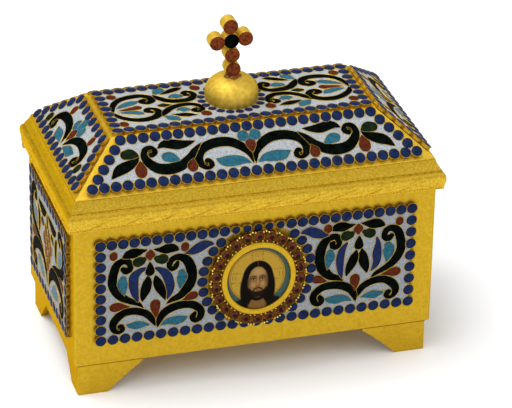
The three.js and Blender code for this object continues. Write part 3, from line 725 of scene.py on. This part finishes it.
# The top plate: a pair of facing scrolls each side of the dome.
# The dome has its own ring of smaller dots.
TOP_U, TOP_V = 61.8, 20.4
TOP_HALF = [
    ("black", [(-59, -1.8, .3), (-58.9, 1, 1.2), (-58, 4.5, 1.9), (-55.7, 8.5, 2.4),
        (-52, 11.4, 2.8), (-47, 12.7, 3), (-42.5, 12.7, 3), (-39.5, 11.2, 3), (-38, 8.8, 2.8),
        (-38.1, 6.4, 2.6), (-40, 4.7, 2.4), (-42.2, 5, 2.4), (-43, 6.7, 2.6), (-41.6, 8, 2.2)]),
    ("black", [(-59, -1.9, .3), (-58.7, -4.2, 1.3), (-57, -7.4, 2.2), (-53.5, -10.4, 2.8),
        (-49.5, -12.2, 3.2), (-45, -12.3, 3.2), (-41, -10.9, 3.2), (-38.5, -8.4, 3),
        (-37.8, -5.3, 2.7), (-39.4, -2.6, 2.5), (-42, -2.1, 2.4), (-42.9, -4, 2.7),
        (-41.2, -5.2, 2.2)]),
    ("turquoise", [(-57, 1.3, .2), (-53.5, 3.8, 2.4), (-50, 5.5, 3.4), (-47, 6.6, 2.8),
        (-45, 7.6, .5)]),
    ("turquoise", [(-57, -2.7, .2), (-53.5, -3.2, 2), (-50, -3.9, 3), (-47.2, -5, 3),
        (-45.2, -7, .4)]),
    ("red", [(-57, -.8, .2), (-53, -.3, 1.6), (-49.5, .2, 2.3), (-46.8, .6, 3.2)]),
    ("black", [(-36.4, 12.4, .4), (-34.5, 8.8, 2.4), (-32, 5.5, 3), (-28.9, 3.6, 3.2),
        (-25, 3, 3), (-20.8, 3.2, 2.9), (-17.9, 5.3, 2.6), (-16.9, 8, 2.4), (-17.8, 10.7, 2.2),
        (-19.8, 11.6, 2.1), (-21.2, 10.2, 2.2), (-20, 8.6, 2.4)]),
    ("black", [(-37.2, -11.2, .3), (-35, -7.5, 2.3), (-32.5, -4.6, 2.7), (-29, -2.4, 2.8),
        (-25, -1.4, 2.6), (-21, -1.6, 2.6), (-18, -3.6, 2.5), (-16.7, -6.2, 2.3),
        (-17.7, -9.2, 2.1), (-19.8, -9.8, 2.1), (-20.8, -8.2, 2.2), (-19.2, -7, 2)]),
    ("turquoise", [(-34.6, 13.4, 1.6), (-33, 15.2, 4), (-31.4, 17, 3.6), (-30.6, 18.3, 1)]),
    ("turquoise", [(-29.3, 7, .6), (-27.5, 8, 3), (-25.4, 8.4, 3.8), (-24.2, 8.2, 3)]),
    ("turquoise", [(-28.8, -6.8, .8), (-27, -6.3, 3.2), (-25, -6.4, 3.6), (-23.8, -6.9, 2.2)]),
    ("turquoise", [(-35.4, -12, 1.4), (-33.8, -13.4, 3.8), (-32, -14.8, 3.8), (-31, -16, 2)]),
    ("black", [(-33, 11.6, .2), (-29, 13.3, 1.9), (-25.5, 15, 2.7), (-22.6, 16.1, 2.1),
        (-20.4, 16.9, .3)]),
    ("black", [(-32.6, -10.3, .3), (-28.4, -11.7, 2.4), (-24.6, -12.4, 2.8), (-20.4, -13.5, .3)]),
    ("green", [(-35.2, .1, 2.2), (-33.2, .2, 2.8), (-29.8, -.2, .3)]),
    spot(-56.3, 14.4, 1.9), spot(-57.3, -15, 1.9), spot(-14.3, 14.8, 2.0), spot(-16, -13, 2.0),
]
DOME_RING_R = 14.9
RING_DOTS = 20
ring_angles = [2 * math.pi * i / RING_DOTS for i in range(RING_DOTS)]
ring_dots = [(DOME_RING_R * math.cos(a), DOME_RING_R * math.sin(a)) for a in ring_angles]
top_dots = rim_dots(TOP_U, TOP_U, TOP_V, (23, 8, 23, 8))
enamel_plate("lid_panel_top", "front", 0, "lid", box_ground(TOP_U, TOP_U, TOP_V),
             top_dots + ring_dots, fuller(TOP_HALF + mirrored(TOP_HALF), 1.1, 0.45),
             [1.0] * len(top_dots) + [0.74] * RING_DOTS)

# The medallion: 22 round garnets in gilt cups with claws, on a lobed plate, round a polished
# bezel that holds the miniature.
OVAL = 1.06
STONES = 22
STONE_RING_R = 21.3
medallion = plate_place("medallion_setting", "front", math.pi / 2)
# The setting plate's gilding is painted near black: painted shadow under the bezel and between the
# stones.
SETTING_SHADE = gilding("setting_gilding_painted_shadow", (0.03, 0.011, 0.004), (0.26, 0.13, 0.013), 1.2, (0.4, 0.6),
                  0.5, 0.2)
finish_node("medallion_setting", SETTING_SHADE)


def turned(profile, segments, oval=1.0):
    """A body of revolution from (radius, height) points, outside first, closed on its axis."""
    verts, faces, rings = [], [], []
    for radius, height in profile:
        if radius == 0:
            rings.append([len(verts)] * segments)
            verts.append((0, 0, height))
            continue
        rings.append(list(range(len(verts), len(verts) + segments)))
        for i in range(segments):
            angle = 2 * math.pi * i / segments
            verts.append((radius * math.cos(angle), oval * radius * math.sin(angle), height))
    for ring, after in zip(rings, rings[1:]):
        for i in range(segments):
            n = (i + 1) % segments
            face = []
            for index in (ring[i], ring[n], after[n], after[i]):
                if index not in face:
                    face.append(index)
            if len(face) > 2:
                faces.append(tuple(face))
    return verts, faces


def gems_tree(name):
    """Round stones with a flat table and a crown of facets, each turned by chance on its axis."""
    tree = repeat_tree(name, [("Girdle", "Float"), ("Table", "Float"), ("Crown", "Float"),
                              ("Seed", "Int"), ("Finish", "Material")])
    given = add_node(tree, "NodeGroupInput")
    cut = add_node(tree, "GeometryNodeMeshCone", {"Vertices": 10, "Side Segments": 1}, {
        "Radius Top": given.outputs["Table"], "Radius Bottom": given.outputs["Girdle"],
        "Depth": given.outputs["Crown"]})
    finish_tree(tree, given, cut.outputs["Mesh"], False)
    return tree


def stone_places(radius, shift=0.0, height=0.0):
    angles = [2 * math.pi * (i + 0.5 + shift) / STONES for i in range(STONES)]
    return [(radius * math.cos(a), OVAL * radius * math.sin(a), height) for a in angles]


def colour_mix(finish, blend, values, wires):
    """A mix node in front of a finish's colour."""
    tree = finish.node_tree
    mix = tree.nodes.new("ShaderNodeMix")
    mix.data_type = "RGBA"
    mix.blend_type = blend
    set_node(tree, mix, values, wires)
    set_node(tree, tree.nodes["Principled BSDF"], wires={"Base Color": mix.outputs["Result"]})


GARNET_FINISH = surface("garnet", [(0.035, 0.008, 0.003), (0.17, 0.04, 0.012)], 1.3, (0.14, 0.24),
                        0.0, 1.0, 0.02, 0.07)
stones = grow("garnets", gems_tree("stones"), stone_places(STONE_RING_R, 0, 0.3), None,
              medallion, Girdle=2.75, Table=1.15, Crown=1.3, Seed=4, Finish=GARNET_FINISH)
# The table of each stone, facing the front, is painted near black: painted shade for looking into
# the stone, darker than the facets round it.
gem = GARNET_FINISH.node_tree
gem_way = add_node(gem, "ShaderNodeSeparateXYZ",
                   wires={"Vector": gem.nodes["Texture Coordinate"].outputs["Normal"]})
painted_table_shade = add_node(gem, "ShaderNodeMapRange", {"From Min": -0.97, "From Max": -0.99},
                     {"Value": gem_way.outputs["Y"]})
colour_mix(GARNET_FINISH, "MIX", {"B": (0.01, 0.003, 0.002, 1)}, {
    "Factor": painted_table_shade.outputs["Result"], "A": gem.nodes["Color Ramp"].outputs["Color"]})
add_piece(stones, "casket", "garnet", *[f"garnet_{i + 1:02d}" for i in range(STONES)])
# The cups take the same dark gilding, painted shade round the stones.
cups = grow("stone_cups", RINGS, stone_places(STONE_RING_R, 0, 0.45), None, medallion,
            Radius=2.72, Wire=0.16, Finish=SHADED_PLATE_BRASS)
add_piece(cups, "casket", "gilt_brass")
claws, claw_sizes = [], []
for radius, size in ((23.75, 1.0), (19.2, 0.9)):
    for shift in (-0.3, 0.3):
        claws += stone_places(radius, shift, 0.8)
        claw_sizes += [size] * STONES
claws += stone_places(24, 0.5, 0.3)
claw_sizes += [1.3] * STONES
# The claws are gilded much paler than the rest: painted glints on the claws.
PRONG_GLINT_GILT = gilding("prong_gilding_painted_glint", (0.75, 0.5, 0.06), (0.95, 0.72, 0.2), 2, (0.25, 0.35),
                     0.5, 0.03)
stone_claws = grow("stone_claws", BEADS, claws, claw_sizes, medallion,
                   Radius=0.52, Flatness=1.6, Finish=PRONG_GLINT_GILT)
add_piece(stone_claws, "casket", "polished_brass")

bezel_place = plate_place("medallion_bezel", "front", math.pi / 2, 3.5)
BEZEL_PROFILE = [(18.6, -3.5), (18.6, -0.7), (18.45, -0.3), (18.1, -0.05), (17.6, 0), (16.5, 0),
                 (16.1, -0.08), (15.85, -0.35), (15.8, -0.7), (15.8, -3.4), (18.6, -3.5)]
bezel = mesh_piece("bezel", *turned(BEZEL_PROFILE, 96, OVAL), [GILT], bezel_place)
add_piece(bezel, "casket", "polished_brass", "medallion_bezel")

# The miniature: a slightly crowned plaque with a haloed head, painted in fired colours under
# a clear gloss. The face is a general one of calm, even proportions.
ICON_R = 15.75


def step(edge, value, soft=0.25):
    return max(0.0, min(1.0, 0.5 + (value - edge) / (2 * soft)))


def within(x, y, cx, cy, rx, ry, soft=0.25):
    """1 inside an ellipse and 0 outside, with a soft edge in millimetres."""
    away = math.hypot((x - cx) / rx, (y - cy) / ry)
    return 1 - step(0, (away - 1) * min(rx, ry), soft)


def lay(under, over, share):
    return tuple(a + (b - a) * share for a, b in zip(under, over))


def stroke_near(x, y, ax, ay, bx, by, half, soft=0.12):
    ux, uy = bx - ax, by - ay
    t = max(0, min(1, ((x - ax) * ux + (y - ay) * uy) / (ux * ux + uy * uy)))
    return 1 - step(half, math.hypot(x - ax - t * ux, y - ay - t * uy), soft)


GOLD_LEAF = (0.42, 0.26, 0.032)
BROWN = (0.15, 0.055, 0.012)
HAIR = (0.005, 0.0035, 0.002)
SKIN = (0.25, 0.130, 0.040)
SHADE = (0.055, 0.024, 0.008)
LIGHT = (0.46, 0.285, 0.105)
SKY = (0.045, 0.095, 0.085)
ROBE = (0.007, 0.007, 0.006)
HALO = (-0.8, 1.3, 14.2)
HEAD = (-0.5, -0.1)


def painted(x, y):
    """The colour of the painting at one point, laid from the sky up to the head."""
    colour = tuple(c * (1 + 0.3 * math.sin(6.1 * x) * math.sin(5.3 * y + x)) for c in SKY)
    away = math.hypot(x - HALO[0], y - HALO[1])
    turn = math.atan2(y - HALO[1], x - HALO[0])
    rays = 1 + 0.10 * math.sin(64 * turn) + 0.07 * math.sin(5 * x + 3 * y)
    colour = lay(colour, tuple(c * rays for c in GOLD_LEAF), 1 - step(HALO[2], away))
    for radius, half in ((14.2, 0.22), (13.4, 0.12)):
        colour = lay(colour, BROWN, (1 - step(half, abs(away - radius), 0.12)) * 0.9)
    arms = 0
    for offset in (-2.6, 2.6):
        arms = max(arms, stroke_near(x, y, offset + HALO[0], 10.2, offset + HALO[0], 14.6, 0.14))
        arms = max(arms, stroke_near(x, y, 7.8, offset + 1.4, 12.9, offset + 1.4, 0.14))
        arms = max(arms, stroke_near(x, y, -14.6, offset + 1.4, -9.2, offset + 1.4, 0.14))
    for mx, my in ((HALO[0], 12.8), (11.0, 1.4), (-12.3, 1.4)):
        arms = max(arms, stroke_near(x, y, mx - 0.7, my - 0.9, mx - 0.7, my + 0.9, 0.16))
        arms = max(arms, stroke_near(x, y, mx + 0.6, my - 0.9, mx + 0.9, my + 0.9, 0.16))
    colour = lay(colour, BROWN, arms * (1 - step(13.4, away)) * 0.85)
    x, y = (x - HEAD[0]) / 0.93, (y - HEAD[1]) / 1.02
    robe = step(0, -(y + 12.6 + 0.05 * x * x * 0.6 - abs(x) * 0.18), 0.4)
    for side in (-1, 1):
        robe = max(robe, within(x, y, 8.5 * side, -14.5, 5, 4.2))
    colour = lay(colour, ROBE, robe)
    colour = lay(colour, HAIR, within(x, y, 0, 0.6, 8.3, 9.2, 0.2))
    for side in (-1, 1):
        colour = lay(colour, HAIR, within(x, y, 6.9 * side, -5.5, 2.6, 8.4, 0.3))
    colour = lay(colour, HAIR, within(x, y, 0, -7.5, 7.2, 7.0, 0.3))
    neck = within(x, y, 0, -13.6, 3.9 + 0.4 * max(0, -y - 12), 4.2, 0.3)
    colour = lay(colour, lay(SHADE, SKIN, 0.65), neck)
    face = within(x, y, 0, -1.8, 5.5, 8.3, 0.25)
    flesh = lay(SKIN, LIGHT, within(x, y, 0, 3.6, 3.4, 2.4, 1.6) * 0.6)
    for side in (-1, 1):
        flesh = lay(flesh, LIGHT, within(x, y, 2.7 * side, -3.0, 1.3, 1.2, 0.9) * 0.5)
        flesh = lay(flesh, SHADE, within(x, y, 5.6 * side, -2, 1.5, 7, 1.0) * 0.75)
        flesh = lay(flesh, SHADE, within(x, y, 2.35 * side, 0.5, 1.9, 1.3, 0.7) * 0.75)
        flesh = lay(flesh, LIGHT, within(x, y, 2.35 * side, -0.2, 1.05, 0.45, 0.12) * 0.8)
        flesh = lay(flesh, HAIR, within(x, y, 2.35 * side, -0.15, 0.42, 0.44, 0.1))
        lid = stroke_near(x, y, 1.25 * side, 0.05, 2.4 * side, 0.42, 0.12)
        lid = max(lid, stroke_near(x, y, 2.4 * side, 0.42, 3.5 * side, -0.05, 0.12))
        brow = stroke_near(x, y, 1.0 * side, 1.35, 2.6 * side, 1.85, 0.2, 0.15)
        brow = max(brow, stroke_near(x, y, 2.6 * side, 1.85, 4.0 * side, 1.3, 0.14, 0.15))
        flesh = lay(flesh, HAIR, max(lid, brow) * 0.9)
        bridge = stroke_near(x, y, 0.6 * side, 1.0, 0.9 * side, -3.2, 0.14, 0.3)
        flesh = lay(flesh, SHADE, bridge * (0.35 + 0.2 * side))
        flesh = lay(flesh, SHADE, within(x, y, 0.75 * side, -3.75, 0.4, 0.25, 0.15) * 0.9)
    flesh = lay(flesh, LIGHT, stroke_near(x, y, 0, 0.8, 0, -3.0, 0.22, 0.3) * 0.6)
    flesh = lay(flesh, SHADE, stroke_near(x, y, -0.8, -3.95, 0.8, -3.95, 0.1, 0.18) * 0.6)
    beard = step(0, 0.11 * x * x - 6.9 - y, 0.3) * within(x, y, 0, -6.2, 5.3, 5.6, 0.3)
    beard = max(beard, step(0, -6.6 - y, 0.25) * within(x, y, 0, -8.4, 3.6, 3.0, 0.4))
    whisker = 0
    for side in (-1, 1):
        whisker = max(whisker, stroke_near(x, y, 0.25 * side, -4.75, 1.9 * side, -5.25, 0.42, 0.25))
        whisker = max(whisker, stroke_near(x, y, 1.9 * side, -5.25, 2.75 * side, -7.2, 0.4, 0.3))
    flesh = lay(flesh, HAIR, max(beard * 0.97, whisker * 0.95))
    lips = within(x, y, 0, -6.05, 1.25, 0.42, 0.12)
    flesh = lay(flesh, (0.24, 0.07, 0.035), lips)
    flesh = lay(flesh, HAIR, stroke_near(x, y, -1.15, -6.0, 1.15, -6.0, 0.07, 0.08) * 0.8)
    colour = lay(colour, flesh, face)
    beard_edge = within(x, y, 0, -8.4, 4.3, 3.6, 0.35) * (1 - face)
    colour = lay(colour, HAIR, beard_edge)
    colour = lay(colour, BROWN, stroke_near(x, y, 0, 5.6, 0, 9.6, 0.08, 0.1) * 0.8)
    return colour


def painted_plaque():
    """A crowned oval, fine enough to carry the painting in its points, on a short wall."""
    rings, segments = 84, 150
    verts, faces = [(0, 0, 0)], []
    for r in range(1, rings + 1):
        share = r / rings
        for i in range(segments):
            a = 2 * math.pi * i / segments
            reach = ICON_R * share
            verts.append((reach * math.cos(a), OVAL * reach * math.sin(a), -0.7 * share ** 2))
    for i in range(segments):
        faces.append((0, 1 + i, 1 + (i + 1) % segments))
        for r in range(rings - 1):
            a, b = 1 + r * segments + i, 1 + r * segments + (i + 1) % segments
            faces.append((a, a + segments, b + segments, b))
    rim = 1 + (rings - 1) * segments
    base = len(verts)
    verts += [(x, y, -3.0) for x, y, _ in verts[rim:rim + segments]]
    for i in range(segments):
        n = (i + 1) % segments
        faces.append((rim + i, base + i, base + n, rim + n))
    faces.append(tuple(range(base + segments - 1, base - 1, -1)))
    return verts, faces


PAINT = surface("fired_paint", [(0.88, 0.88, 0.88), (1, 1, 1)], 1.2, (0.35, 0.45), 0.0, 0.6,
                0.05, 0.02)
paint_colour = PAINT.node_tree.nodes.new("ShaderNodeVertexColor")
paint_colour.layer_name = "paint"
colour_mix(PAINT, "MULTIPLY", {"Factor": 1}, {
    "A": paint_colour.outputs["Color"],
    "B": PAINT.node_tree.nodes["Color Ramp"].outputs["Color"]})
icon_place = plate_place("icon", "front", math.pi / 2,
                         (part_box("icon")[1][1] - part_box("icon")[0][1]) / MM)
plaque_verts, plaque_faces = painted_plaque()
miniature = mesh_piece("miniature", plaque_verts, plaque_faces, [PAINT], icon_place)
paint_layer = miniature.data.color_attributes.new("paint", "FLOAT_COLOR", "POINT")
for spot_colour, (x, y, _) in zip(paint_layer.data, plaque_verts):
    spot_colour.color = (*painted(x, y), 1)
add_piece(miniature, "casket", "painted_enamel", "icon")

# The dome on the lid: brass, raised and polished, a little drawn in at its foot.
# It stands in the middle of the top plate.
dome_low, dome_high = (Vector(c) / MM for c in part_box("dome"))
dome_middle = (dome_low + dome_high) / 2
DOME_R = 13.05
DOME_WALL = 4
DOME_RISE = 9.7
DOME_PROFILE = [(0, 0), (12.6, 0), (12.8, 0.9), (13, 2.4), (DOME_R, DOME_WALL)]
for k in range(1, 15):
    turn = math.radians(6 * k)
    DOME_PROFILE.append((DOME_R * math.cos(turn), DOME_WALL + DOME_RISE * math.sin(turn)))
DOME_PROFILE.append((0, DOME_WALL + DOME_RISE))
dome_place = Matrix.Translation(Vector((dome_middle.x, dome_middle.y, dome_low.z)) * MM)
# The dome's gilding is paler than the box's: painted sheen.
DOME_SHEEN_GILT = surface("dome_gilding_painted_sheen", [(0.6, 0.405, 0.042), (0.76, 0.53, 0.085)], 2.2, (0.52, 0.66),
                    0.9, 0.5, 0.12)
dome = mesh_piece("dome_ball", *turned(DOME_PROFILE, 72), [DOME_SHEEN_GILT], dome_place)
add_piece(dome, "lid", "polished_brass", "dome")

# The cross: six short lengths of rod soldered side by side, leaning a little to the left.
# Each carries a disc of enamel in front: five red-brown, and a black one at the crossing.
ROD_R = 3.75
DISC_R = 3.66
cross_low, cross_high = (Vector(c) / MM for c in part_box("cross"))
rod_length = cross_high.y - cross_low.y
ROD_PROFILE = [(0, 0), (ROD_R - 0.3, 0), (ROD_R, 0.3), (ROD_R, rod_length - 0.3),
               (ROD_R - 0.25, rod_length - 0.02), (0, rod_length - 0.02)]
DISC_PROFILE = [(0, -0.1), (DISC_R, -0.1), (DISC_R, 0.3), (DISC_R - 0.25, 0.62),
                (DISC_R - 0.8, 0.78), (1.8, 0.86), (0, 0.9)]
places = {}
for name in ("lowest", "lower", "centre", "left", "right", "top"):
    low, high = (Vector(c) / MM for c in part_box(f"cross_disc_{name}"))
    places[name] = ((low.x + high.x) / 2, (low.z + high.z) / 2)
red_names = [name for name in places if name != "centre"]


def turned_to_front(profile, names, back_y):
    """One turned body at each named place, standing out to the front from back_y."""
    all_verts, all_faces = [], []
    for name in names:
        verts, faces = turned(profile, 40)
        all_faces += [tuple(len(all_verts) + i for i in face) for face in faces]
        all_verts += [(x + places[name][0], back_y - h, y + places[name][1]) for x, y, h in verts]
    return all_verts, all_faces


# The rods take the dome's paler gilding, painted sheen.
rods = mesh_piece("cross_rods", *turned_to_front(ROD_PROFILE, places, cross_high.y), [DOME_SHEEN_GILT])
rods.data.set_sharp_from_angle(angle=math.radians(40))
add_piece(rods, "lid", "polished_brass", "cross")
DISC_RED = enamel("disc_red_enamel", (0.075, 0.014, 0.004), (0.22, 0.048, 0.012), 1.1, 0.4,
                  (0.4, 0.55), 0.03)
red_discs = mesh_piece("cross_red_discs", *turned_to_front(DISC_PROFILE, red_names, cross_low.y),
                       [DISC_RED])
add_piece(red_discs, "lid", "red_enamel", *[f"cross_disc_{name}" for name in red_names])
black_disc = mesh_piece("cross_black_disc",
                        *turned_to_front(DISC_PROFILE, ["centre"], cross_low.y), [BLACK])
add_piece(black_disc, "lid", "black_enamel", "cross_disc_centre")

SOLDER = surface("solder", [(0.30, 0.13, 0.04), (0.72, 0.42, 0.08)], 1.2, (0.4, 0.6), 0.9, 0.4, 0.5)
joins = []
for a, b in (("lowest", "lower"), ("lower", "centre"), ("centre", "top"),
             ("left", "centre"), ("centre", "right")):
    x, z = (places[a][0] + places[b][0]) / 2, (places[a][1] + places[b][1]) / 2
    joins += [(x, cross_low.y + rod_length * share, z) for share in (0.25, 0.5, 0.75)]
solder = grow("cross_solder", BEADS, joins, Radius=1.5, Flatness=0.8, Finish=SOLDER)
add_piece(solder, "lid", "gilt_brass")
# A dark red-brown puddle at the foot of the cross: solder, with a painted reflection of the cross
# in the dome.
SOLDER_AND_REFLECTION = surface("solder_and_painted_reflection", [(0.11, 0.025, 0.01), (0.3, 0.12, 0.03)], 1.0, (0.5, 0.7),
                0.3, 0.4, 0.5, 0.2)
PUDDLE = ((-2.6, 0.9, 0), (0.2, -0.4, 0), (2.8, 0.6, 0), (0, 3.4, 0.1))
puddle = [(places["lowest"][0] + x, cross_low.y + y, cross_low.z + z) for x, y, z in PUDDLE]
foot_solder_and_reflection = grow("foot_solder_and_reflection", BEADS, puddle, [1.5, 1.9, 1.4, 2.4],
                   Radius=1.3, Flatness=0.34, Finish=SOLDER_AND_REFLECTION)
add_piece(foot_solder_and_reflection, "lid", "gilt_brass")

# The hinge: a barrel of five knuckles on a pin, soldered in turn to the box and to the lid.
# It is gilded like the box.
for number in range(1, 6):
    finish_node(f"hinge_knuckle_{number}", GILT)
finish_node("hinge_pin", GILT)

# A pale floor, soft studio light from above and in front, and the camera, which stands a
# little to the left, looks down, and leans by a degree.
floor_mesh = bpy.data.meshes.new("floor")
floor_mesh.from_pydata([(-3, -3, 0), (3, -3, 0), (3, 3, 0), (-3, 3, 0)], [], [(0, 1, 2, 3)])
floor = bpy.data.objects.new("floor", floor_mesh)
bpy.context.scene.collection.objects.link(floor)
floor_mesh.materials.append(surface("pale_floor", [(0.93, 0.935, 0.94), (0.955, 0.96, 0.965)],
                                    300, (0.7, 0.8), 0, 5, 0.02))

world = bpy.data.worlds.new("studio")
world.use_nodes = True
world.node_tree.nodes["Background"].inputs["Color"].default_value = (1, 1, 1, 1)
world.node_tree.nodes["Background"].inputs["Strength"].default_value = 0.70
bpy.context.scene.world = world


LIT_POINT = Vector((0, 0, 0.06))


def soft_light(name, place, size, power):
    data = bpy.data.lights.new(name, "AREA")
    data.shape = "DISK"
    data.size = size
    data.energy = power
    light = bpy.data.objects.new(name, data)
    light.location = place
    way = LIT_POINT - Vector(place)
    light.rotation_euler = way.to_track_quat("-Z", "Y").to_euler()
    bpy.context.scene.collection.objects.link(light)


soft_light("key", (-0.7, -0.9, 1.2), 1.1, 5.2)
soft_light("fill", (1.1, -0.7, 0.8), 0.8, 3)
soft_light("top", (-0.45, 0.15, 1.45), 1.1, 15)

AIM = Vector((0.0108, 0.00025, 0.0750))
AZIMUTH, ELEVATION, ROLL = math.radians(-16.96), math.radians(27.97), math.radians(1.23)
DISTANCE = 1.5449
back = Vector((math.sin(AZIMUTH) * math.cos(ELEVATION),
               -math.cos(AZIMUTH) * math.cos(ELEVATION), math.sin(ELEVATION)))
level = Vector((0, 0, 1)).cross(back).normalized()
upward = back.cross(level)
right = level * math.cos(ROLL) + upward * math.sin(ROLL)
lens = bpy.data.cameras.new("camera")
lens.lens = 220.8
lens.sensor_width = 36
lens.shift_x = 0.0104
lens.shift_y = -0.0247
lens.clip_start = 0.05
camera = bpy.data.objects.new("camera", lens)
camera.matrix_world = Matrix.Translation(AIM + back * DISTANCE) @ Matrix(
    (right, back.cross(right), back)).transposed().to_4x4()
bpy.context.scene.collection.objects.link(camera)
bpy.context.scene.camera = camera
bpy.context.scene.view_settings.view_transform = "Standard"
